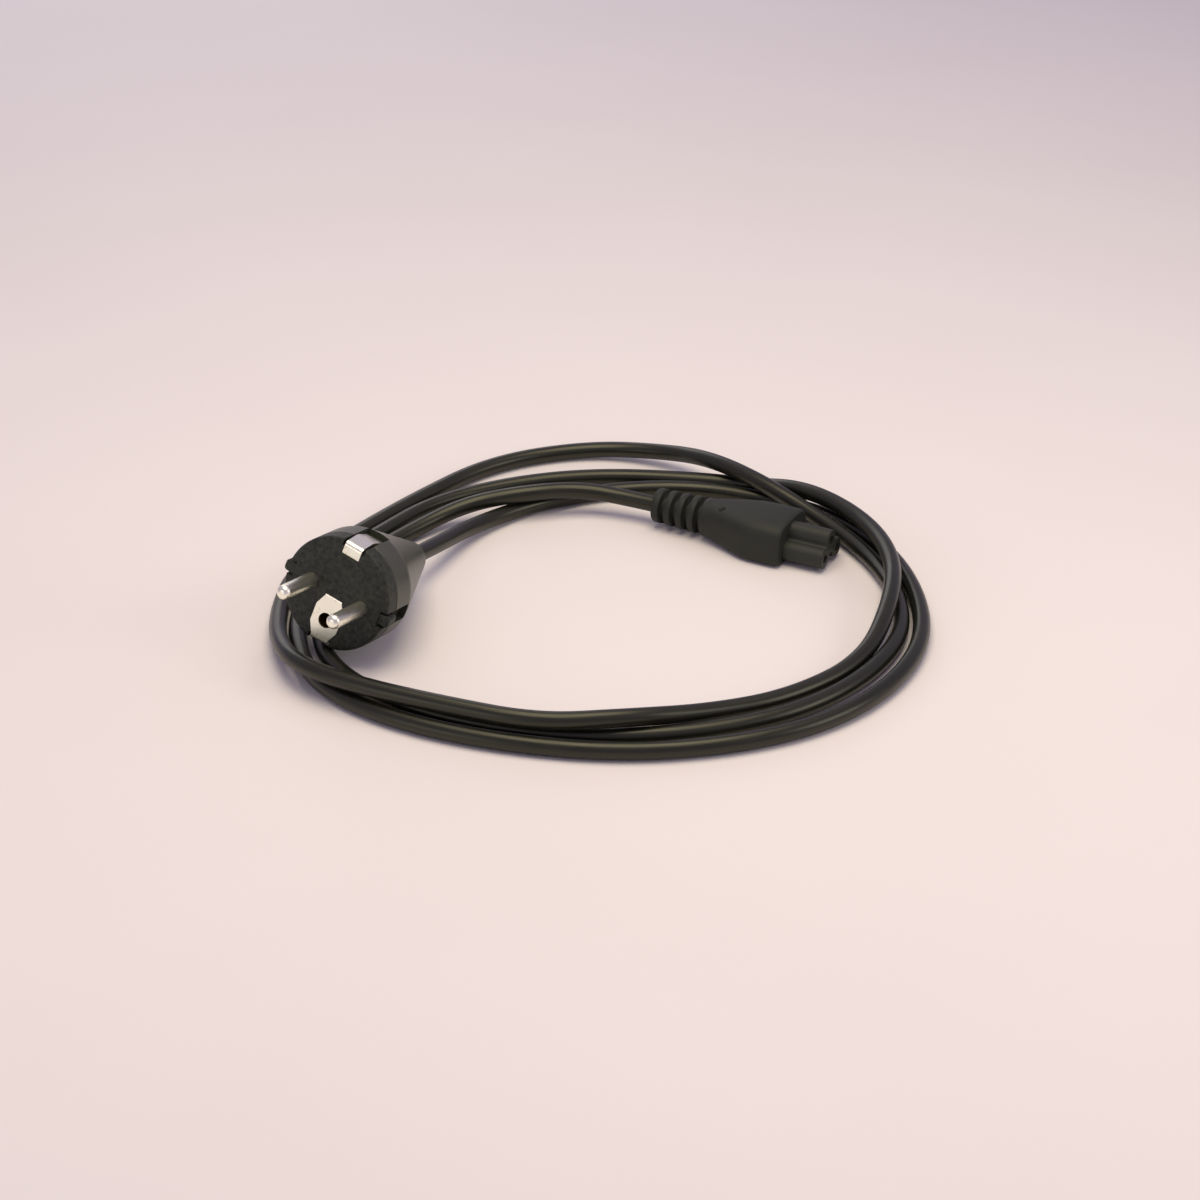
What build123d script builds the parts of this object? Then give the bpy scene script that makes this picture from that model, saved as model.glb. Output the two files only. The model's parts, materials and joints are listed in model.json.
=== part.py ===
from build123d import *
import os
from math import sqrt, tan, radians

# Power cord: an earthed mains plug of the type E/F hybrid, a loose coil of three-core cable and a
# three-lobed appliance connector. Millimetres, +Z up. The coil and the connector lie on z = 0.

# Cable and its cores
CABLE_D = 5.8
BEND_SHARE = 0.45  # part of the shorter run that a bend takes up
CORE_D = 2.2
WIRE_D = 1.1
WIRE_BARE = 1.5  # bare wire between a core's end and its crimp
CORE_STRAIGHT = 2.5  # at each end of a core, before it bends
CRIMP_WALL = 0.5
CRIMP_LENGTH = 7.0

# Clearances
MOULD_GAP = 0.05  # between a moulded piece and what it is moulded round
FLOOR_GAP = 0.1  # under the cable where it lies on the floor

# Plug front, depths measured back from its face
FACE_D = 37.5
BRIDGE_RIM = 6.0  # thickness of the front disc at its rim
RIM_ROUND = 1.0
SEAM = 0.4  # bevel on both sides of the joint between disc and grip
HUB_DEPTH = 15.0
HUB_WALL = 1.2  # outside whatever lies furthest out in the hub
PIN_D = 4.8
PIN_LENGTH = 19.0
PIN_PITCH = 19.0
PIN_TIP_R = 1.9
SHANK_D = 4.0  # pin inside the hub
COLLAR_D = 6.4
COLLAR_T = 1.5
GUIDE_W = 5.5  # grooves in the flanks beside the pins
GUIDE_DEEP = 2.6
GUIDE_LONG = 15.0

# Earth strip and the socket behind its hole
STRIP_T = 0.8
STRIP_W = 6.2
STRIP_BEND_R = 1.2
TAB_REACH = 4.6  # how far the upper clip's tab comes in over the face
PLATE_W = 10.0
PLATE_INNER = 0.8  # inner end of the plate below the pins' line
PLATE_FLARE = 4.0  # length over which the plate widens and narrows again
EARTH_DROP = 10.0  # earth hole below the pins' line
SOCKET_D = 5.1
SOCKET_WALL = 0.5
SOCKET_BACK = 0.7  # hub left behind the socket
SOCKET_SLIT = 0.8
CLIP_LONG = 13.5
CLIP_INSET = 1.2  # the clip's middle inside the face's edge
CLIP_BOW = 0.8  # outward spring of the clip halfway along
CHANNEL_W = 8.0
CHANNEL_DEEP = 2.7
CHANNEL_LONG = 17.0
EARTH_CRIMP_RISE = 6.0  # earth crimp above the pins' line

# Plug grip
PLUG_LENGTH = 52.0
GRIP_LONG = 15.5  # end of the cylindrical part
SHOULDER_R = 6.0
NECK_D = 10.8
NECK_ROUND = 1.0
NECK_GRIP = 11.5  # sheath inside the neck
PLUG_ROLL = -18.0  # turn of the pins' line out of the level, in degrees

# Connector nose, lengths measured from the body's front
NOSE_LENGTH = 14.5
NOSE_ROOT = 9.0  # nose inside the body
NOSE_ROUND = 0.6
LOBE_D = 7.2
LOBE_SPREAD = 10.0  # line to neutral
LOBE_RISE = 5.0  # earth above line and neutral
LOBE_DROP = 2.7  # line and neutral below the cable's axis
VALLEY_R = 1.0
KEY_DEEP = 0.8  # groove round the nose's root
KEY_W = 2.5
KEY_FOOT = 3.0  # full section behind the groove
CONTACT_BORE_D = 2.5
CONTACT_WALL = 0.5
CONTACT_INSET = 1.0  # contact's mouth behind the nose's end
CONTACT_DEPTH = 13.0
MOUTH_D = 3.0

# Connector body
BODY_LENGTH = 32.0
BODY_STRAIGHT = 14.0  # front part of even section
BODY_W = 22.0
BODY_H = 15.8
SIDE_H = 4.6  # height of the upright sides
RIDGE_W = 8.4
CROWN_R = 4.5
FOOT_R = 2.0
FRONT_ROUND = 1.2
WAIST_W = 16.4  # section halfway along the taper
WAIST_H = 14.4
WAIST_LOW = 0.4  # foot of that section above the floor
AXIS_H = 7.3  # cable's axis above the floor
RELIEF_LENGTH = 21.0
RELIEF_BASE_D = 12.6
RELIEF_TIP_D = 9.6
RELIEF_WALL = 1.2  # left under the slots
TIP_ROUND = 0.8
SLOT_FIRST = 2.4  # first slot behind the body
SLOT_COUNT = 4
SLOT_W = 1.6
SLOT_PITCH = 4.6
SLOT_RIB = 3.0  # bridge left between two rings
RELIEF_GRIP = 10.5  # sheath inside the relief

# The cable's middle line, from the plug's neck round three turns to the connector's relief
LOW = CABLE_D / 2 + FLOOR_GAP
ROUTE = [
    # down out of the neck, then the first pass behind the connector
    (-58.5, -3.5, 15.7), (-47.5, 21, 9.6), (-34, 50, 3.5), (-10, 69, LOW), (18.5, 78, LOW),
    (44.5, 79, LOW), (67.5, 70, LOW), (89.5, 57.5, LOW), (106, 35.5, LOW),
    # right and front, outermost
    (114.5, 5, LOW), (114.5, -29, LOW), (104, -59.5, LOW), (82, -83.5, LOW), (51, -96.5, LOW),
    (15, -100.5, LOW), (-21.5, -93.5, LOW), (-54.5, -80.5, LOW), (-79.5, -60.5, LOW),
    # left, then along the back
    (-91, -33.5, LOW), (-92, -4, LOW), (-87, 19.5, LOW), (-72.5, 42.5, LOW), (-51.5, 68, LOW),
    (-21, 82.5, LOW), (9, 89, LOW), (41.5, 88.5, LOW),
    # over the first pass at upper right, and down inside
    (64.5, 80.5, 3.8), (82, 65.5, 9.4), (100, 43, 9.4), (108, 14.5, 9.5), (103, -15.5, 8.6),
    (91.5, -44, LOW), (68.5, -67, LOW), (41.5, -78.5, 3.6),
    # over both others at the front, then outermost at the left and back
    (16.5, -90, 9.3), (-10, -92.5, 9.5), (-39, -82, 9.4), (-66, -70.5, 9.4), (-86, -57.5, 9.4),
    (-95.5, -37.5, 6.2), (-98.5, -11.5, LOW), (-96.5, 15, LOW), (-82.5, 39.5, LOW),
    (-60.5, 71, LOW), (-31.5, 100, LOW), (5, 111.5, LOW),
    # over the back pair, then inside and under at the right
    (34, 103.5, 5.3), (49.5, 87.5, 10), (66.5, 69, 10), (86, 51, 4.8), (100, 30, LOW), (108, 3, LOW),
    (108, -26, LOW), (96.5, -54.5, LOW), (73.5, -76, LOW), (45.5, -89, LOW), (13, -93.5, LOW),
    (-21.5, -86.5, LOW), (-52.5, -69, LOW), (-74.5, -46.5, LOW), (-84.5, -20, LOW), (-83.5, 4, LOW),
    (-74.5, 27, LOW), (-59, 49.5, LOW),
    # over the first pass and into the relief
    (-39, 63.5, 5.8), (-18, 66, 9.6), (1.5, 66, 9), (20.5, 61.5, AXIS_H), (37.5, 52.5, AXIS_H),
]

FACE_R = FACE_D / 2
CRIMP_D = WIRE_D + 2 * MOULD_GAP + 2 * CRIMP_WALL
SOCKET_OUTER_D = SOCKET_D + 2 * SOCKET_WALL
SOCKET_END = SOCKET_BACK - HUB_DEPTH
CONTACT_D = CONTACT_BORE_D + 2 * CONTACT_WALL
TAB_INNER = FACE_R - CLIP_INSET - TAB_REACH
HUB_REACH = max(PIN_PITCH / 2 + COLLAR_D / 2, EARTH_DROP + SOCKET_OUTER_D / 2, TAB_INNER + STRIP_T)
HUB_R = HUB_REACH + HUB_WALL


def pose(end, before, ahead, roll=0.0):
    """Place ahead of the cable's end: z along the cable's last run, x level and then rolled."""
    axis = (Vector(end) - Vector(before)).normalized()
    level = Plane(end, x_dir=Vector(0, 0, 1).cross(axis), z_dir=axis)
    return level.location * Rot(0, 0, roll) * Pos(0, 0, ahead)


PLUG = pose(ROUTE[0], ROUTE[1], PLUG_LENGTH - NECK_GRIP, PLUG_ROLL)
CONNECTOR = pose(ROUTE[-1], ROUTE[-2], BODY_LENGTH + RELIEF_LENGTH - RELIEF_GRIP)


def rod(radius, top, bottom, x=0.0, y=0.0):
    """Upright cylinder between two heights."""
    upright = (Align.CENTER, Align.CENTER, Align.MIN)
    return Pos(x, y, bottom) * Cylinder(radius, top - bottom, align=upright)


def crimp(top, grow=0.0):
    """Crimp barrel that hangs from a height, or the room it takes in a moulding."""
    barrel = rod(CRIMP_D / 2 + grow, top, top - CRIMP_LENGTH - grow)
    return barrel if grow else barrel - rod(WIRE_D / 2 + MOULD_GAP, top, top - CRIMP_LENGTH)


def wire(top, grow=0.0):
    """Bare strands from the bottom of a crimp out to the core's end."""
    return rod(WIRE_D / 2 + grow, top, top - CRIMP_LENGTH - WIRE_BARE)


def core(start, spot, top, sheath_end, grow=0.0):
    """Insulated core from its place at the sheath's end to the wire below a crimp."""
    end = top - CRIMP_LENGTH - WIRE_BARE
    path = FilletPolyline(
        (*start, sheath_end),
        (*start, sheath_end + CORE_STRAIGHT),
        (*spot, end - CORE_STRAIGHT),
        (*spot, end),
        radius=CORE_D,
    )
    return sweep(Plane(path @ 0, z_dir=path % 0) * Circle(CORE_D / 2 + grow), path=path)


def core_places():
    """Where line, neutral and earth lie in the cable, seen along its axis."""
    ring = PolarLocations((CORE_D + MOULD_GAP) / sqrt(3), 3, 210)
    return [(place.position.X, place.position.Y) for place in ring]


def flank_cuts():
    """Two guide grooves on the pins' line and two channels for the earth clips."""
    cuts = []
    for width, deep, length, angles in (
        (GUIDE_W, GUIDE_DEEP, GUIDE_LONG, (90, 270)),
        (CHANNEL_W, CHANNEL_DEEP, CHANNEL_LONG, (0, 180)),
    ):
        groove = Box(width, 2 * deep, 2 * length)
        cuts += [Rot(0, 0, angle) * Pos(0, FACE_R, 0) * groove for angle in angles]
    return cuts


def pin_tail(grow=0.0):
    """Collar against the hub's back, with the crimp behind it."""
    back = -HUB_DEPTH - COLLAR_T
    return rod(COLLAR_D / 2 + grow, -HUB_DEPTH, back - grow) + crimp(back, grow)


def pin():
    """Round pin with a rounded tip, seated on the face by its thinner shank through the hub."""
    shaft = rod(PIN_D / 2, PIN_LENGTH, 0)
    shaft = fillet(shaft.edges().sort_by(Axis.Z)[-1], PIN_TIP_R)
    return shaft + rod(SHANK_D / 2, 0, -HUB_DEPTH) + pin_tail()


def earth_strip(grow=0.0):
    """One bent strip: clip, tab, bar behind the hub, plate with the earth hole, clip."""
    side = FACE_R - CLIP_INSET
    face = -STRIP_T / 2
    back = -HUB_DEPTH - STRIP_T / 2
    upper_clip = [(side - CLIP_BOW, -CLIP_LONG), (side + CLIP_BOW, -CLIP_LONG / 2), (side, face)]
    through = [(TAB_INNER, face), (TAB_INNER, back), (-PLATE_INNER, back), (-PLATE_INNER, face)]
    lower_clip = [(-y, z) for y, z in reversed(upper_clip)]
    path = FilletPolyline(*upper_clip, *through, *lower_clip, radius=STRIP_BEND_R)
    strip = extrude(Plane.YZ * trace(path, STRIP_T + 2 * grow), STRIP_W / 2 + grow, both=True)

    start, end = -PLATE_INNER - STRIP_BEND_R, STRIP_BEND_R - side
    narrow, wide = STRIP_W / 2 + grow, PLATE_W / 2 + grow
    edge = [(narrow, start), (wide, start - PLATE_FLARE), (wide, end + PLATE_FLARE), (narrow, end)]
    outline = make_face(Polyline(*edge, *[(-x, y) for x, y in reversed(edge)], close=True))
    strip += extrude(Pos(0, 0, grow) * outline, -STRIP_T - 2 * grow)

    strip += Pos(0, EARTH_CRIMP_RISE, 0) * crimp(-HUB_DEPTH - STRIP_T, grow)
    return strip if grow else strip - rod(SOCKET_D / 2, 0, -STRIP_T, 0, -EARTH_DROP)


def earth_socket():
    """Rolled sleeve behind the plate's hole, slit along its outer side."""
    sleeve = rod(SOCKET_OUTER_D / 2, -STRIP_T, SOCKET_END) - rod(SOCKET_D / 2, -STRIP_T, SOCKET_END)
    outward = (Align.CENTER, Align.MAX, Align.CENTER)
    slit = Box(SOCKET_SLIT, SOCKET_OUTER_D, 2 * HUB_DEPTH, align=outward)
    return Pos(0, -EARTH_DROP, 0) * (sleeve - slit)


def plug_bridge():
    """Front disc with the hub behind it, open for the pins, the strip and the socket."""
    disc = [(0, 0), (FACE_R, 0), (FACE_R, -BRIDGE_RIM)]
    hub = [(HUB_R, -BRIDGE_RIM), (HUB_R, -HUB_DEPTH), (0, -HUB_DEPTH)]
    half = make_face(Polyline(*disc, *hub, close=True))
    rim = half.vertices().group_by(Axis.X)[-1].sort_by(Axis.Y)
    half = chamfer(rim[0], SEAM)
    half = fillet(half.vertices().group_by(Axis.X)[-1].sort_by(Axis.Y)[-1], RIM_ROUND)
    bridge = revolve(Plane.XZ * half, Axis.Z) - flank_cuts() - earth_strip(MOULD_GAP)
    bridge -= [rod(SHANK_D / 2 + MOULD_GAP, 0, -HUB_DEPTH, x) for x in (-PIN_PITCH / 2, PIN_PITCH / 2)]
    return bridge - rod(SOCKET_OUTER_D / 2 + MOULD_GAP, 0, SOCKET_END - MOULD_GAP, 0, -EARTH_DROP)


def plug_grip():
    """Outer shape of the grip: a cylinder, a rounded shoulder and a cone down to the neck."""
    shoulder, neck = Vector(FACE_R, -GRIP_LONG), Vector(NECK_D / 2, -PLUG_LENGTH)
    front, tail = [(0, -BRIDGE_RIM), (FACE_R, -BRIDGE_RIM)], (0, -PLUG_LENGTH)
    half = make_face(Polyline(*front, shoulder, neck, tail, close=True))
    half = fillet(half.vertices().sort_by_distance(shoulder)[0], SHOULDER_R)
    half = fillet(half.vertices().sort_by_distance(neck)[0], NECK_ROUND)
    half = chamfer(half.vertices().sort_by_distance((FACE_R, -BRIDGE_RIM))[0], SEAM)
    return revolve(Plane.XZ * half, Axis.Z)


def nose_places():
    """Line, neutral and earth on the connector's face, from the cable's axis."""
    half = LOBE_SPREAD / 2
    return [(-half, -LOBE_DROP), (half, -LOBE_DROP), (0, LOBE_RISE - LOBE_DROP)]


def nose_outline():
    """Three round lobes on a web, with rounded valleys between them."""
    places = nose_places()
    outline = make_face(Polyline(*places, close=True))
    for (x, y), inward in zip(places, (30, 150, 270)):
        outline += Pos(x, y) * Rot(0, 0, inward) * Circle(LOBE_D / 2)
    return fillet(outline.vertices(), VALLEY_R)


def nose_block(grow=0.0):
    """Lobed block with a groove near its root, which the body's moulding fills."""
    full = offset(nose_outline(), grow) if grow else nose_outline()
    thin = offset(nose_outline(), grow - KEY_DEEP)
    foot_end, key_end = KEY_FOOT - NOSE_ROOT, KEY_FOOT + KEY_W - NOSE_ROOT
    block = extrude(Pos(0, 0, key_end - grow) * full, NOSE_LENGTH - key_end + grow)
    block = fillet(block.faces().sort_by(Axis.Z)[-1].edges(), NOSE_ROUND)
    block += extrude(Pos(0, 0, foot_end) * thin, KEY_W)
    return block + extrude(Pos(0, 0, -NOSE_ROOT) * full, KEY_FOOT + grow)


def connector_nose():
    """The block with a stepped hole for each contact."""
    mouth = NOSE_LENGTH - CONTACT_INSET
    nose = nose_block()
    for x, y in nose_places():
        nose -= rod(CONTACT_D / 2 + MOULD_GAP, mouth, -NOSE_ROOT, x, y)
        nose -= rod(MOUTH_D / 2, NOSE_LENGTH, mouth, x, y)
    return nose


def contact():
    """Sleeve for the appliance's pin, with a crimp behind it."""
    mouth = NOSE_LENGTH - CONTACT_INSET
    bore = rod(CONTACT_BORE_D / 2, mouth, mouth - CONTACT_DEPTH)
    return rod(CONTACT_D / 2, mouth, -NOSE_ROOT) - bore + crimp(-NOSE_ROOT)


def body_section(width, low, high, z):
    """Flat foot, upright sides, sloping shoulders and a rounded crown."""
    corners = [(width / 2, low), (width / 2, SIDE_H - AXIS_H), (RIDGE_W / 2, high)]
    face = make_face(Polyline(*corners, *[(-x, y) for x, y in reversed(corners)], close=True))
    face = fillet(face.vertices().group_by(Axis.Y)[0], FOOT_R)
    face = fillet(face.vertices().group_by(Axis.Y)[-1], CROWN_R)
    return Pos(0, 0, z) * face


def strain_relief():
    """Tapered sleeve behind the body, slotted from alternate sides so that it bends."""
    base, tip = RELIEF_BASE_D / 2, RELIEF_TIP_D / 2
    sleeve = Pos(0, 0, -BODY_LENGTH - RELIEF_LENGTH / 2) * Cone(tip, base, RELIEF_LENGTH)
    sleeve = fillet(sleeve.edges().sort_by(Axis.Z)[0], TIP_ROUND)
    floor = CABLE_D / 2 + MOULD_GAP + RELIEF_WALL
    for number in range(SLOT_COUNT):
        z = -BODY_LENGTH - SLOT_FIRST - number * SLOT_PITCH
        ring = rod(RELIEF_BASE_D, z, z - SLOT_W) - rod(floor, z, z - SLOT_W)
        rib = Box(SLOT_RIB, 3 * RELIEF_BASE_D, SLOT_W, align=(Align.CENTER, Align.CENTER, Align.MAX))
        sleeve -= ring - Pos(0, 0, z) * Rot(0, 0, 90 * (number % 2)) * rib
    return sleeve


def connector_shape():
    """Outer shape of the connector's body with its relief."""
    front = body_section(BODY_W, -AXIS_H, BODY_H - AXIS_H, -BODY_STRAIGHT)
    middle = -(BODY_STRAIGHT + BODY_LENGTH) / 2
    waist = body_section(WAIST_W, WAIST_LOW - AXIS_H, WAIST_H - AXIS_H, middle)
    rear = body_section(RELIEF_BASE_D, -RELIEF_BASE_D / 2, RELIEF_BASE_D / 2, -BODY_LENGTH)
    block = extrude(front, BODY_STRAIGHT)
    block = fillet(block.faces().sort_by(Axis.Z)[-1].edges(), FRONT_ROUND)
    return block + loft([front, waist, rear]) + strain_relief()


def cable():
    """Round cable along its route, every bend as large as its two runs allow."""
    points = [Vector(point) for point in ROUTE]
    runs = [after - before for before, after in zip(points, points[1:])]
    radii = []
    for before, after in zip(runs, runs[1:]):
        tangent = BEND_SHARE * min(before.length, after.length)
        radii.append(tangent / tan(radians(before.get_angle(after) / 2)))
    path = FilletPolyline(*points, radius=radii)
    print("cable: bend radii", [round(radius) for radius in radii])
    print("cable: length %.1f mm, smallest radius %.1f mm" % (path.length, min(radii)))
    return sweep(Plane(path @ 0, z_dir=path % 0) * Circle(CABLE_D / 2), path=path)


nodes = {"mains_cable": cable()}
names = ("line", "neutral", "earth")

# Plug: the front with its metal, then the cores, then the grip moulded round all of it
plug_sheath = NECK_GRIP - PLUG_LENGTH
pin_places = [(-PIN_PITCH / 2, 0), (PIN_PITCH / 2, 0)]
crimp_tops = [-HUB_DEPTH - COLLAR_T, -HUB_DEPTH - COLLAR_T, -HUB_DEPTH - STRIP_T]
core_ends = pin_places + [(0, EARTH_CRIMP_RISE)]
grip = plug_grip() - flank_cuts() - earth_strip(MOULD_GAP)
grip -= rod(HUB_R + MOULD_GAP, -BRIDGE_RIM, -HUB_DEPTH)
grip -= rod(CABLE_D / 2 + MOULD_GAP, plug_sheath, -PLUG_LENGTH)
grip -= [Pos(*place) * pin_tail(MOULD_GAP) for place in pin_places]
for name, start, spot, top in zip(names, core_places(), core_ends, crimp_tops):
    nodes[f"plug_{name}_core"] = PLUG * core(start, spot, top, plug_sheath)
    nodes[f"plug_{name}_wire"] = PLUG * Pos(*spot) * wire(top)
    grip -= core(start, spot, top, plug_sheath, MOULD_GAP)
    grip -= Pos(*spot) * wire(top, MOULD_GAP)
nodes["plug_body"] = PLUG * grip
nodes["plug_bridge"] = PLUG * plug_bridge()
nodes["line_pin"], nodes["neutral_pin"] = [PLUG * Pos(*place) * pin() for place in pin_places]
nodes["earth_strip"] = PLUG * earth_strip()
nodes["earth_socket"] = PLUG * earth_socket()

# Connector: contacts and cores, then the body moulded round the nose and all of it
relief_sheath = RELIEF_GRIP - RELIEF_LENGTH - BODY_LENGTH
body = connector_shape() - nose_block(MOULD_GAP)
body -= rod(CABLE_D / 2 + MOULD_GAP, relief_sheath, -BODY_LENGTH - RELIEF_LENGTH)
for name, start, spot in zip(names, core_places(), nose_places()):
    nodes[f"connector_{name}_contact"] = CONNECTOR * Pos(*spot) * contact()
    nodes[f"connector_{name}_core"] = CONNECTOR * core(start, spot, -NOSE_ROOT, relief_sheath)
    nodes[f"connector_{name}_wire"] = CONNECTOR * Pos(*spot) * wire(-NOSE_ROOT)
    body -= core(start, spot, -NOSE_ROOT, relief_sheath, MOULD_GAP)
    body -= Pos(*spot) * (wire(-NOSE_ROOT, MOULD_GAP) + crimp(-NOSE_ROOT, MOULD_GAP))
nodes["connector_body"] = CONNECTOR * body
nodes["connector_nose"] = CONNECTOR * connector_nose()

os.makedirs("parts", exist_ok=True)
for name, solid in nodes.items():
    export_step(solid, f"parts/{name}.step")
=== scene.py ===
import json
import math

import bpy
from mathutils import Matrix, Vector


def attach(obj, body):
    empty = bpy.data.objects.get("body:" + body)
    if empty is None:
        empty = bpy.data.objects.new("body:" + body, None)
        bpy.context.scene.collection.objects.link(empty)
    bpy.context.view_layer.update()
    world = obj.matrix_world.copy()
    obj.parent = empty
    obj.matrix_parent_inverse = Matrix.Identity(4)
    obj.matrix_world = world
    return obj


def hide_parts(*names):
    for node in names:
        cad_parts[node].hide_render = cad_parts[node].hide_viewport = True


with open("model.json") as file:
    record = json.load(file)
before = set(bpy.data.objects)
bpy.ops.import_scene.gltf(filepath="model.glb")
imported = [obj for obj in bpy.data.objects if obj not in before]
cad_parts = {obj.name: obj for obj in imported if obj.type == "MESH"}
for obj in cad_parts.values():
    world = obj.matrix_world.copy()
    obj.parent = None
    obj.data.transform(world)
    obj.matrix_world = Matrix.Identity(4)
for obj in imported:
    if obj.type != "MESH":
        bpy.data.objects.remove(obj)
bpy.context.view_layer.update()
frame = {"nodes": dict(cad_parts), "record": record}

# Bare wire ends
# Each core's strands of soft copper are stripped and twisted, and stand a little way out of the
# insulation. They are pressed into the crimp of a pin, of the earth strip or of a contact.


def srgb(code):
    """Linear colour, with alpha, from an sRGB hex code."""
    parts = [int(code[i:i + 2], 16) / 255 for i in (1, 3, 5)]
    return (*[p / 12.92 if p <= 0.04045 else ((p + 0.055) / 1.055) ** 2.4 for p in parts], 1.0)


def add(tree, kind, inputs, **settings):
    """Adds a node with its settings, and fills its sockets from values or from other nodes' outputs."""
    node = tree.nodes.new("ShaderNode" + kind)
    for name, value in settings.items():
        setattr(node, name, value)
    for socket, value in inputs.items():
        if isinstance(value, bpy.types.NodeSocket):
            tree.links.new(value, node.inputs[socket])
        else:
            node.inputs[socket].default_value = value
    return node


def new_material(name, values):
    """A material with its node tree and shader, which gets what is the same all over the surface."""
    material = bpy.data.materials.new(name)
    material.use_nodes = True
    shader = material.node_tree.nodes["Principled BSDF"]
    for socket, value in values.items():
        shader.inputs[socket].default_value = value
    return material, material.node_tree, shader


def per_metre(*sizes):
    """How often patterns of these sizes, in millimetres, repeat in a metre."""
    return tuple(1000 / size for size in sizes)


def dress(material, *names):
    """Gives the material to CAD pieces."""
    for name in names:
        slots = frame["nodes"][name].data.materials
        slots.clear()
        slots.append(material)


# The plug's and the connector's own directions: x from line to neutral, z out along the pins.
mounts = {mount["name"]: mount for mount in frame["record"]["mounts"]}


def directions(line, neutral):
    """Turn from the model's axes to those of an end of the cord."""
    z = Vector(mounts[line]["axis"])
    x = (Vector(mounts[neutral]["pos_m"]) - Vector(mounts[line]["pos_m"])).normalized()
    return Matrix((x, z.cross(x), z)).to_euler()


plug_turn = directions("line_pin", "neutral_pin")
connector_turn = directions("line_contact", "neutral_contact")

# Soft drawn copper: warm, its colour lighter along each strand and darker in the grooves between them
# as painted light and shade, and duller in the grooves. The strands are drawn 0.3 mm thick, coarser
# than the usual 0.2 mm.
for end, turn in (("plug", plug_turn), ("connector", connector_turn)):
    copper, tree, shader = new_material(f"twisted_copper_{end}", {"Metallic": 1.0})
    place = add(tree, "TexCoord", {}).outputs["Object"]
    place = add(tree, "Mapping", {"Vector": place, "Rotation": turn}).outputs["Vector"]
    strand = add(tree, "VectorMath", {0: place, 1: per_metre(0.3, 0.3, 2.0)}, operation="MULTIPLY")
    lay = add(tree, "TexNoise", {"Vector": strand.outputs["Vector"], "Scale": 1.0, "Detail": 2.0})
    # The colour follows the bumps' pattern: a painted highlight on the strands and painted shade in the
    # grooves.
    tint = add(tree, "MixRGB", {"Fac": lay.outputs["Fac"],
                                "Color1": srgb("#8A4A2B"), "Color2": srgb("#D9926A")})
    dull = add(tree, "MapRange", {"Value": lay.outputs["Fac"], "To Min": 0.5, "To Max": 0.25})
    ridge = add(tree, "Bump", {"Height": lay.outputs["Fac"], "Strength": 0.6, "Distance": 0.0001})
    tree.links.new(tint.outputs["Color"], shader.inputs["Base Color"])
    tree.links.new(dull.outputs["Result"], shader.inputs["Roughness"])
    tree.links.new(ridge.outputs["Normal"], shader.inputs["Normal"])
    dress(copper, f"{end}_line_wire", f"{end}_neutral_wire", f"{end}_earth_wire")

# Insulated cores
# Three cores fan out from the sheath to the crimps, inside the moulding. Each is extruded PVC over
# the strands: brown for line, blue for neutral, and yellow with green stripes for earth.

for end, turn in (("plug", plug_turn), ("connector", connector_turn)):
    for core, ground, stripe in (
        ("line", "#5A3322", "#6B412D"),
        ("neutral", "#1D4F9C", "#2B62B2"),
        ("earth", "#E0C21C", "#2C8A3C"),
    ):
        # Extruded PVC: an even colour with a soft sheen, and faint draw lines along it.
        pvc, tree, shader = new_material(f"core_pvc_{core}_{end}", {"IOR": 1.53, "Coat Weight": 0.05})
        place = add(tree, "TexCoord", {}).outputs["Object"]
        place = add(tree, "Mapping", {"Vector": place, "Rotation": turn}).outputs["Vector"]
        drawn = add(tree, "VectorMath", {0: place, 1: per_metre(1.5, 1.5, 30)}, operation="MULTIPLY")
        lines = add(tree, "TexNoise", {"Vector": drawn.outputs["Vector"], "Scale": 1.0, "Detail": 3.0})
        edge = add(tree, "MapRange", {"Value": lines.outputs["Fac"], "From Min": 0.48, "From Max": 0.52})
        tint = add(tree, "MixRGB", {"Fac": edge.outputs["Result"],
                                    "Color1": srgb(ground), "Color2": srgb(stripe)})
        sheen = add(tree, "MapRange", {"Value": lines.outputs["Fac"], "To Min": 0.38, "To Max": 0.55})
        relief = add(tree, "Bump", {"Height": lines.outputs["Fac"], "Strength": 0.2, "Distance": 0.0001})
        tree.links.new(tint.outputs["Color"], shader.inputs["Base Color"])
        tree.links.new(sheen.outputs["Result"], shader.inputs["Roughness"])
        tree.links.new(relief.outputs["Normal"], shader.inputs["Normal"])
        dress(pvc, f"{end}_{core}_core")

# Cable
# A round three-core flex, 5.8 mm thick, extruded in black PVC and smooth to the touch. It was coiled
# for the shelf and lies in three loose turns, from the plug's neck to the connector's relief. Its
# points are those of the CAD tube, some moved by up to 6 mm to lie as close as the real turns do.

cable_d = 0.0058
cable_length = 1.967
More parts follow.
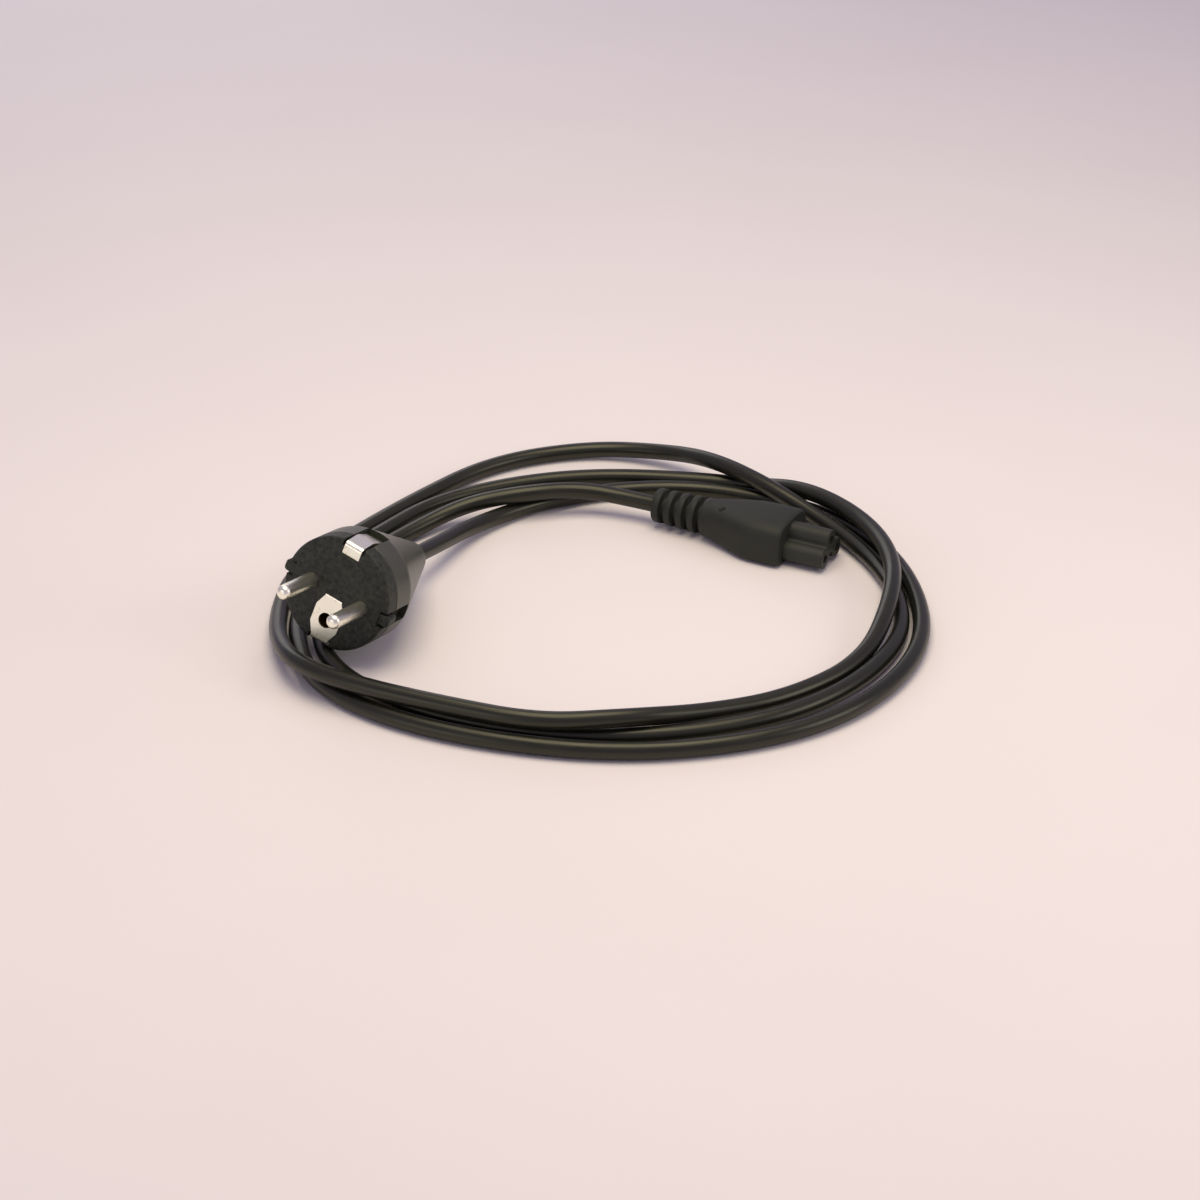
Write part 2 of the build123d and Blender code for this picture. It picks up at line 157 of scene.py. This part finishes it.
# Heights of the cable's line: lying on the floor, and in the connector's relief.
low = 0.0030
relief_h = 0.0073
route = [
    # down out of the neck, then the first pass behind the connector
    (-0.0585, -0.0035, 0.0157), (-0.0475, 0.0210, 0.0096), (-0.0340, 0.0500, 0.0035),
    (-0.0100, 0.0690, low), (0.0185, 0.0780, low), (0.0445, 0.0785, low),
    (0.0675, 0.0700, low), (0.0895, 0.0575, low), (0.1060, 0.0355, low),
    # right and front, outermost
    (0.1145, 0.0050, low), (0.1145, -0.0290, low), (0.1022, -0.0579, low),
    (0.0805, -0.0812, low), (0.0505, -0.0948, low), (0.0150, -0.0995, low),
    (-0.0215, -0.0935, low), (-0.0545, -0.0805, low), (-0.0795, -0.0605, low),
    # left, then along the back
    (-0.0895, -0.0335, low), (-0.0900, -0.0040, low), (-0.0850, 0.0195, low),
    (-0.0698, 0.0403, low), (-0.0504, 0.0670, low), (-0.0210, 0.0825, low),
    (0.0090, 0.0885, low), (0.0415, 0.0855, low),
    # over the first pass at upper right, and down inside
    (0.0640, 0.0790, 0.0038), (0.0820, 0.0655, 0.0094), (0.1000, 0.0430, 0.0094),
    (0.1080, 0.0145, 0.0095), (0.1044, -0.0160, 0.0089), (0.0932, -0.0452, 0.0032),
    (0.0685, -0.0670, low), (0.0430, -0.0785, 0.0045),
    # over both others at the front, then outermost at the left and back
    (0.0165, -0.0905, 0.0099), (-0.0100, -0.0925, 0.0095), (-0.0390, -0.0820, 0.0094),
    (-0.0660, -0.0705, 0.0094), (-0.0860, -0.0575, 0.0094), (-0.0945, -0.0375, 0.0062),
    (-0.0970, -0.0120, low), (-0.0945, 0.0145, low), (-0.0795, 0.0378, low),
    (-0.0573, 0.0683, low), (-0.0308, 0.0990, low), (0.0050, 0.1115, low),
    # over the back pair, then inside and under at the right
    (0.0340, 0.1035, 0.0053), (0.0495, 0.0875, 0.0100), (0.0665, 0.0690, 0.0100),
    (0.0860, 0.0510, 0.0048), (0.1000, 0.0300, low), (0.1080, 0.0030, low),
    (0.1078, -0.0262, low), (0.0950, -0.0524, low), (0.0730, -0.0743, low),
    (0.0455, -0.0863, low), (0.0130, -0.0913, low), (-0.0215, -0.0860, low),
    (-0.0540, -0.0715, low), (-0.0770, -0.0490, low), (-0.0835, -0.0200, low),
    (-0.0820, 0.0040, low), (-0.0715, 0.0260, low), (-0.0555, 0.0465, low),
    # over the first pass and into the relief
    (-0.0385, 0.0585, 0.0066), (-0.0190, 0.0605, 0.0099), (0.0015, 0.0655, 0.0092),
    (0.0205, 0.0615, relief_h), (0.0375, 0.0525, relief_h),
]
flex_line = bpy.data.curves.new("mains_flex", "CURVE")
flex_line.dimensions = "3D"
flex_line.bevel_depth = cable_d / 2
flex_line.bevel_resolution = 8
flex_line.resolution_u = 12
flex_line.use_fill_caps = True
spline = flex_line.splines.new("NURBS")
spline.points.add(len(route) - 1)
for point, spot in zip(spline.points, route):
    point.co = (*spot, 1.0)
spline.order_u = 3
spline.use_endpoint_u = True
flex = bpy.data.objects.new("mains_flex", flex_line)
bpy.context.scene.collection.objects.link(flex)

# Extruded PVC sheath: olive black and glossy enough for long highlights, with faint draw lines along
# its length and duller patches where it has been handled.
sheath, tree, shader = new_material("sheath_pvc", {"IOR": 1.53, "Specular Tint": srgb("#F7F8E2")})
coords = add(tree, "TexCoord", {})
place = coords.outputs["Object"]
rubbed = add(tree, "TexNoise", {"Vector": place, "Scale": per_metre(14)[0], "Detail": 4.0})
# The curve's own coordinates go from 0 to 1, once along the cable and once round it. The lines are
# drawn 50 mm long and 1.3 mm wide, coarser than real ones.
line_long, line_wide = 0.050, 0.0013
drawn_out = (cable_length / line_long, math.pi * cable_d / line_wide, 1.0)
spread = add(tree, "VectorMath", {0: coords.outputs["UV"], 1: drawn_out}, operation="MULTIPLY")
drawn = add(tree, "TexNoise", {"Vector": spread.outputs["Vector"], "Scale": 1.0, "Detail": 2.0})
tint = add(tree, "MixRGB", {"Fac": rubbed.outputs["Fac"],
                            "Color1": srgb("#0F100B"), "Color2": srgb("#1B1C14")})
sheen = add(tree, "MapRange", {"Value": rubbed.outputs["Fac"], "To Min": 0.24, "To Max": 0.42})
skin = add(tree, "Bump", {"Height": drawn.outputs["Fac"], "Strength": 0.35, "Distance": 0.0002})
tree.links.new(tint.outputs["Color"], shader.inputs["Base Color"])
tree.links.new(sheen.outputs["Result"], shader.inputs["Roughness"])
tree.links.new(skin.outputs["Normal"], shader.inputs["Normal"])
flex_line.materials.append(sheath)

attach(flex, "root")
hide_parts("mains_cable")

# Pins and earth strip
# Two turned brass pins and one strip, stamped and bent to the plate on the face and the clips on
# the flanks, all nickel plated. The pins are pressed into the front disc and the strip threads it.

# Nickel over brass: a warm, bright metal, satin from tumbling, with fine marks along the pins from
# use and a little brown tarnish. The marks are drawn 0.25 mm wide, coarser than real ones.
nickel, tree, shader = new_material("nickel_plated_brass", {"Metallic": 1.0})
place = add(tree, "TexCoord", {}).outputs["Object"]
place = add(tree, "Mapping", {"Vector": place, "Rotation": plug_turn}).outputs["Vector"]
along = add(tree, "VectorMath", {0: place, 1: per_metre(0.25, 0.25, 8)}, operation="MULTIPLY")
marks = add(tree, "TexNoise", {"Vector": along.outputs["Vector"], "Scale": 1.0, "Detail": 3.0})
stain = add(tree, "TexNoise", {"Vector": place, "Scale": per_metre(3)[0], "Detail": 5.0,
                               "Roughness": 0.6})
browned = add(tree, "MapRange", {"Value": stain.outputs["Fac"], "From Min": 0.6, "From Max": 0.85})
tint = add(tree, "MixRGB", {"Fac": browned.outputs["Result"],
                            "Color1": srgb("#FDFCEA"), "Color2": srgb("#BFA77D")})
satin = add(tree, "MapRange", {"Value": marks.outputs["Fac"], "To Min": 0.22, "To Max": 0.42})
scratch = add(tree, "Bump", {"Height": marks.outputs["Fac"], "Strength": 0.15, "Distance": 0.0001})
tree.links.new(tint.outputs["Color"], shader.inputs["Base Color"])
tree.links.new(satin.outputs["Result"], shader.inputs["Roughness"])
tree.links.new(scratch.outputs["Normal"], shader.inputs["Normal"])
dress(nickel, "line_pin", "neutral_pin", "earth_strip")

# Sockets for other pins
# The earth socket behind the plate's hole and the connector's three contacts are sleeves rolled
# from brass strip. Each is pushed into its hole in the hard plastic and ends in a crimp.

# Rolled brass: yellow and satin, with lines from the rolling mill, drawn coarser than real.
brass, tree, shader = new_material("rolled_brass", {"Metallic": 1.0})
place = add(tree, "TexCoord", {}).outputs["Object"]
milled = add(tree, "VectorMath", {0: place, 1: per_metre(0.2, 4, 0.2)}, operation="MULTIPLY")
lines = add(tree, "TexNoise", {"Vector": milled.outputs["Vector"], "Scale": 1.0, "Detail": 3.0})
tint = add(tree, "MixRGB", {"Fac": lines.outputs["Fac"],
                            "Color1": srgb("#A27C35"), "Color2": srgb("#D6B25E")})
satin = add(tree, "MapRange", {"Value": lines.outputs["Fac"], "To Min": 0.25, "To Max": 0.45})
tree.links.new(tint.outputs["Color"], shader.inputs["Base Color"])
tree.links.new(satin.outputs["Result"], shader.inputs["Roughness"])
dress(brass, "earth_socket", "connector_line_contact", "connector_neutral_contact",
      "connector_earth_contact")

# Plug front
# The bridge, a disc of hard plastic with a hub behind it, moulded with an ear in each guide groove
# and with the holes for the pins, the strip and the socket. The grip is moulded on over the hub, so
# only the disc and the ears show.

# Each ear is rounded, in millimetres from the face's middle. Its slices go back from the face, the
# first ones inset for the rounded front edge.
ear_half, ear_foot, ear_reach, ear_corner, corner_steps = 1.9, 15.0, 20.0, 1.1, 6
ear_slices = [(-0.5, 0.3), (-0.6, 0.1), (-0.9, 0.0), (-5.0, 0.0)]
# The pins' mounts lie halfway along their straight walls, this far in front of the face.
pin_half = 0.00855
out = Vector(mounts["line_pin"]["axis"])
apart = Vector(mounts["neutral_pin"]["pos_m"]) - Vector(mounts["line_pin"]["pos_m"])
face_middle = Vector(mounts["line_pin"]["pos_m"]) + apart / 2 - pin_half * out
beside, above = apart.normalized(), out.cross(apart.normalized())
corners, walls = [], []
for side in (-1, 1):
    first = len(corners)
    for z, inset in ear_slices:
        half, reach = ear_half - inset, ear_reach - inset
        bend = [(reach - ear_corner * (1 - math.cos(turn)), half - ear_corner * (1 - math.sin(turn)))
                for turn in (math.radians(90 * k / corner_steps) for k in range(corner_steps + 1))]
        outline = [(ear_foot, -half), *[(r, -w) for r, w in reversed(bend)], *bend, (ear_foot, half)]
        corners += [face_middle + (side * (r * beside + w * above) + z * out) / 1000 for r, w in outline]
    count = len(outline)
    walls.append(tuple(first + k for k in range(count)))
    for n in range(len(ear_slices) - 1):
        here, behind = first + n * count, first + (n + 1) * count
        walls += [(here + k, behind + k, behind + (k + 1) % count, here + (k + 1) % count)
                  for k in range(count)]
ear_mesh = bpy.data.meshes.new("guide_ears")
ear_mesh.from_pydata(corners, [], walls)
ears = bpy.data.objects.new("guide_ears", ear_mesh)
bpy.context.scene.collection.objects.link(ears)

# Glass-filled nylon: near black and rather matte, mottled where the fibres come up, in patches of
# about 1.6 mm.
nylon, tree, shader = new_material("glass_filled_nylon", {"IOR": 1.53, "Specular IOR Level": 0.35})
place = add(tree, "TexCoord", {}).outputs["Object"]
fibre = add(tree, "TexNoise", {"Vector": place, "Scale": per_metre(1.6)[0], "Detail": 6.0,
                               "Roughness": 0.65})
bare = add(tree, "MapRange", {"Value": fibre.outputs["Fac"], "From Min": 0.35, "From Max": 0.7})
tint = add(tree, "MixRGB", {"Fac": bare.outputs["Result"],
                            "Color1": srgb("#0E110C"), "Color2": srgb("#393D33")})
matte = add(tree, "MapRange", {"Value": fibre.outputs["Fac"], "To Min": 0.45, "To Max": 0.7})
grain = add(tree, "Bump", {"Height": fibre.outputs["Fac"], "Strength": 0.25, "Distance": 0.0002})
tree.links.new(tint.outputs["Color"], shader.inputs["Base Color"])
tree.links.new(matte.outputs["Result"], shader.inputs["Roughness"])
tree.links.new(grain.outputs["Normal"], shader.inputs["Normal"])
dress(nylon, "plug_bridge")
ear_mesh.materials.append(nylon)

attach(ears, "root")

# Plug grip
# Soft PVC moulded in one shot over the hub, the crimps and the cable's end. It leaves the grooves
# and channels on the flanks open and runs down in a cone to the cable.

# Moulded PVC: black with a soft gloss and the fine grain of a spark-eroded mould, drawn 0.35 mm
# wide, coarser than the real grain.
grip_pvc, tree, shader = new_material("moulded_pvc_grip", {"IOR": 1.53})
place = add(tree, "TexCoord", {}).outputs["Object"]
flow = add(tree, "TexNoise", {"Vector": place, "Scale": per_metre(9)[0], "Detail": 3.0})
spark = add(tree, "TexNoise", {"Vector": place, "Scale": per_metre(0.35)[0], "Detail": 2.0})
tint = add(tree, "MixRGB", {"Fac": flow.outputs["Fac"],
                            "Color1": srgb("#32352B"), "Color2": srgb("#404337")})
gloss = add(tree, "MapRange", {"Value": flow.outputs["Fac"], "To Min": 0.3, "To Max": 0.42})
grain = add(tree, "Bump", {"Height": spark.outputs["Fac"], "Strength": 0.15, "Distance": 0.0001})
tree.links.new(tint.outputs["Color"], shader.inputs["Base Color"])
tree.links.new(gloss.outputs["Result"], shader.inputs["Roughness"])
tree.links.new(grain.outputs["Normal"], shader.inputs["Normal"])
dress(grip_pvc, "plug_body")

# Connector nose
# The three-lobed block that goes into the appliance, moulded in hard plastic round the contacts
# and keyed into the body by a groove.

# Hard moulded plastic: dark grey and evenly matte, its mould's grain drawn coarser than real.
hard, tree, shader = new_material("hard_moulded_plastic", {"IOR": 1.5, "Specular IOR Level": 0.35})
place = add(tree, "TexCoord", {}).outputs["Object"]
flow = add(tree, "TexNoise", {"Vector": place, "Scale": per_metre(6)[0], "Detail": 3.0})
spark = add(tree, "TexNoise", {"Vector": place, "Scale": per_metre(0.3)[0], "Detail": 2.0})
tint = add(tree, "MixRGB", {"Fac": flow.outputs["Fac"],
                            "Color1": srgb("#242720"), "Color2": srgb("#2E312A")})
matte = add(tree, "MapRange", {"Value": flow.outputs["Fac"], "To Min": 0.48, "To Max": 0.6})
grain = add(tree, "Bump", {"Height": spark.outputs["Fac"], "Strength": 0.12, "Distance": 0.0001})
tree.links.new(tint.outputs["Color"], shader.inputs["Base Color"])
tree.links.new(matte.outputs["Result"], shader.inputs["Roughness"])
tree.links.new(grain.outputs["Normal"], shader.inputs["Normal"])
dress(hard, "connector_nose")

# Connector body
# PVC moulded over the nose, the crimps and the cable's end in one shot: upright sides and a flat
# roof in front, shoulders behind, and a strain relief that bends with the cable. The relief's slots
# go round it as far as a rib along the foot.

# Sections from the front to the relief: millimetres back, half width, foot and roof from the cable's
# line, and how square the roof's and the foot's corners are, where 2 is round.
sections = [
    # the rounded front edge
    (0.0, 11.0, -6.5, 6.7, 3.6, 6.0), (0.35, 11.65, -7.05, 7.25, 3.6, 6.0),
    # upright sides
    (1.2, 12.0, -7.3, 7.5, 3.6, 6.0), (11.5, 12.0, -7.3, 7.5, 3.6, 6.0),
    # shoulders, down to the relief
    (15.0, 11.6, -7.3, 7.5, 3.5, 5.5), (19.0, 10.3, -7.2, 7.4, 3.3, 4.5),
    (23.0, 8.9, -7.0, 7.2, 3.0, 3.6), (27.0, 7.7, -6.8, 7.0, 2.6, 3.0),
    (30.5, 6.9, -6.7, 6.7, 2.1, 2.1),
]
# The sides lean in by this share of the width, so that the body comes out of its mould.
draft = 0.05
relief_from, relief_to, relief_r, tip_r, tip_round = 31.5, 52.0, 6.7, 6.1, 0.8
# The relief's tip is rounded over in three steps.
tip_shares = (0.3, 0.65, 1.0)
slot_first, slot_pitch, slot_w, slot_count = 1.6, 4.6, 2.1, 4
slot_r, rib_half = 3.6, 1.5
# A slot's edge, from outside to inside: millimetres past it, and depth.
slot_edge = [(-0.35, 0.0), (-0.1, 0.06), (0.0, 0.2), (0.05, 1.0)]
# The gate's dimple: how far back, aside and above the cable's line, its radius and its depth.
gate_back, gate_side, gate_high, gate_r, gate_deep = 25.0, -4.0, 6.3, 1.5, 0.9
gate_steps = 4
steps = 96
turns = [math.tau * (step + 0.5) / steps for step in range(steps)]


def squared_off(value, square):
    """One axis of a squared circle."""
    return math.copysign(abs(value) ** (2 / square), value)


# The gate where the PVC was shot in is a dimple in the roof. More sections, between the two on
# either side of it, draw it.
before = [section for section in sections if section[0] < gate_back][-1]
after = sections[sections.index(before) + 1]
for step in range(-gate_steps, gate_steps + 1):
    back = gate_back + step * gate_r / gate_steps
    share = (back - before[0]) / (after[0] - before[0])
    sections.append(tuple(a + (b - a) * share for a, b in zip(before, after)))
rings = []
for back, half, foot, roof, roof_square, foot_square in sorted(sections):
    middle, rise = (foot + roof) / 2, (roof - foot) / 2
    ring = []
    for turn in turns:
        square = roof_square if math.sin(turn) > 0 else foot_square
        x = half * squared_off(math.cos(turn), square)
        y = rise * squared_off(math.sin(turn), square)
        x *= 1 - draft * y / rise
        off_gate = math.hypot(x - gate_side, back - gate_back) / gate_r
        dip = gate_deep * (1 - off_gate ** 2) if y > 0 and off_gate < 1 else 0.0
        ring.append((x, middle + y - dip, back))
    rings.append(ring)

# Along the relief, each step back has a depth: 0 on the sleeve, 1 on the floor of a slot. A rib along
# the foot joins the rings.
depths = [(relief_from, 0.0)]
for slot in range(slot_count):
    start = relief_from + slot_first + slot * slot_pitch
    end = start + slot_w
    depths += [(start + past, depth) for past, depth in slot_edge]
    depths += [(end - past, depth) for past, depth in reversed(slot_edge)]
depths.append((relief_to - tip_round, 0.0))
for back, depth in depths:
    sleeve = relief_r + (tip_r - relief_r) * (back - relief_from) / (relief_to - relief_from)
    ring = []
    for turn in turns:
        on_rib = math.sin(turn) < 0 and abs(math.cos(turn)) * sleeve < rib_half
        cut = 0.0 if on_rib else depth
        radius = sleeve + (slot_r - sleeve) * cut
        ring.append((radius * math.cos(turn), radius * math.sin(turn), back))
    rings.append(ring)
for share in tip_shares:
    inset = tip_round * (1 - math.sqrt(1 - share * share))
    rings.append([((tip_r - inset) * math.cos(turn), (tip_r - inset) * math.sin(turn),
                   relief_to - tip_round * (1 - share)) for turn in turns])

# From the middle of the line and neutral contacts, back to the body's front and up to the cable's
# line.
front_back, line_up = 0.0070, 0.0027
ahead = Vector(mounts["line_contact"]["axis"])
between = Vector(mounts["neutral_contact"]["pos_m"]) - Vector(mounts["line_contact"]["pos_m"])
across, up = between.normalized(), Vector((0, 0, 1))
front = Vector(mounts["line_contact"]["pos_m"]) + between / 2 - front_back * ahead + line_up * up
corners = [front + (x * across + y * up - back * ahead) / 1000 for ring in rings for x, y, back in ring]
walls = []
for n in range(len(rings) - 1):
    here, behind = n * steps, (n + 1) * steps
    walls += [(here + k, here + (k + 1) % steps, behind + (k + 1) % steps, behind + k)
              for k in range(steps)]
last = (len(rings) - 1) * steps
ends = [tuple(reversed(range(steps))), tuple(range(last, last + steps))]
mould = bpy.data.meshes.new("connector_moulding")
mould.from_pydata(corners, [], walls + ends)
mould.polygons.foreach_set("use_smooth", [True] * len(walls) + [False] * len(ends))
moulding = bpy.data.objects.new("connector_moulding", mould)
bpy.context.scene.collection.objects.link(moulding)

# Matte moulded PVC: dark grey and even all over, from a finely blasted mould whose grain is drawn
# 0.35 mm wide, coarser than real.
matte_pvc, tree, shader = new_material("moulded_pvc_matte", {"IOR": 1.53, "Specular IOR Level": 0.3})
place = add(tree, "TexCoord", {}).outputs["Object"]
flow = add(tree, "TexNoise", {"Vector": place, "Scale": per_metre(7)[0], "Detail": 3.0})
blast = add(tree, "TexNoise", {"Vector": place, "Scale": per_metre(0.35)[0], "Detail": 2.0})
tint = add(tree, "MixRGB", {"Fac": flow.outputs["Fac"],
                            "Color1": srgb("#20231D"), "Color2": srgb("#2A2D26")})
matte = add(tree, "MapRange", {"Value": flow.outputs["Fac"], "To Min": 0.52, "To Max": 0.65})
grain = add(tree, "Bump", {"Height": blast.outputs["Fac"], "Strength": 0.18, "Distance": 0.0001})
# Inside the gate's dimple the colour is painted shade, near black, fading out between these distances
# from its middle.
gate_shade_core, gate_shade_fade = 0.0009, 0.0014
gate = front + (gate_side * across + gate_high * up - gate_back * ahead) / 1000
away = add(tree, "VectorMath", {0: place, 1: gate}, operation="DISTANCE")
gate_shade_mask = add(tree, "MapRange", {"Value": away.outputs["Value"], "From Min": gate_shade_core,
                                "From Max": gate_shade_fade})
# Painted shade: near black in the dimple, the moulding's own tint outside it.
tint = add(tree, "MixRGB", {"Fac": gate_shade_mask.outputs["Result"], "Color1": srgb("#060605"),
                            "Color2": tint.outputs["Color"]})
tree.links.new(tint.outputs["Color"], shader.inputs["Base Color"])
tree.links.new(matte.outputs["Result"], shader.inputs["Roughness"])
tree.links.new(grain.outputs["Normal"], shader.inputs["Normal"])
mould.materials.append(matte_pvc)

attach(moulding, "root")
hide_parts("connector_body")

# Floor
# A pale painted board, large enough to fill the picture, just below the cord.

floor_half = 3.0
floor_gap = 0.0001
board = bpy.data.meshes.new("floor")
board.from_pydata(
    [(x, y, -floor_gap) for x, y in ((-floor_half, -floor_half), (floor_half, -floor_half),
                                     (floor_half, floor_half), (-floor_half, floor_half))],
    [], [(0, 1, 2, 3)])
floor = bpy.data.objects.new("floor", board)
bpy.context.scene.collection.objects.link(floor)

# Matte emulsion paint: nearly white, with the faint unevenness of a roller.
paint, tree, shader = new_material("emulsion_paint", {"Roughness": 0.85, "Specular IOR Level": 0.2})
place = add(tree, "TexCoord", {}).outputs["Object"]
rolled = add(tree, "TexNoise", {"Vector": place, "Scale": per_metre(120)[0], "Detail": 4.0})
tint = add(tree, "MixRGB", {"Fac": rolled.outputs["Fac"],
                            "Color1": srgb("#E9E4E2"), "Color2": srgb("#EEEAE7")})
tree.links.new(tint.outputs["Color"], shader.inputs["Base Color"])
board.materials.append(paint)

# Light
# A cool, pale room with one large warm softbox overhead. Three smaller ones give the cable its long
# highlights from behind, and light the plug's plate from the left and its grip from the right.

world = bpy.data.worlds.new("pale_room")
bpy.context.scene.world = world
world.use_nodes = True
sky = world.node_tree.nodes["Background"]
sky.inputs["Color"].default_value = srgb("#C2B7D3")
sky.inputs["Strength"].default_value = 0.7
for name, stand, target, width, height, watts, colour in (
    ("softbox_above", (0.0, -0.05, 0.75), (0.0, -0.05, 0.0), 0.55, 0.6, 3.9, "#FFF0CF"),
    ("softbox_behind", (-0.3, 0.9, 0.45), (0.05, 0.0, 0.0), 0.6, 0.4, 1.2, "#F6F4EC"),
    ("softbox_left", (-0.75, -0.75, 0.25), (-0.07, -0.04, 0.02), 0.5, 0.4, 0.8, "#FFFBE6"),
    ("softbox_right", (0.7, -0.25, 0.35), (0.0, 0.0, 0.0), 0.35, 0.35, 1.2, "#FFF8EA"),
):
    lamp = bpy.data.lights.new(name, "AREA")
    lamp.shape = "RECTANGLE"
    lamp.size, lamp.size_y, lamp.energy = width, height, watts
    lamp.color = srgb(colour)[:3]
    softbox = bpy.data.objects.new(name, lamp)
    softbox.location = stand
    softbox.rotation_euler = (Vector(target) - Vector(stand)).to_track_quat("-Z", "Y").to_euler()
    bpy.context.scene.collection.objects.link(softbox)

# Camera
# A long lens, looking down at the coil from in front at 29 degrees.

aim = Vector((0.009, 0.001, 0.0))
elevation = math.radians(29)
distance = 0.9024
lens = bpy.data.cameras.new("camera")
lens.lens = 81
lens.sensor_width = 36
camera = bpy.data.objects.new("camera", lens)
camera.location = aim + distance * Vector((0, -math.cos(elevation), math.sin(elevation)))
camera.rotation_euler = (math.radians(90) - elevation, 0, 0)
bpy.context.scene.collection.objects.link(camera)
bpy.context.scene.camera = camera
bpy.context.scene.view_settings.view_transform = "Standard"
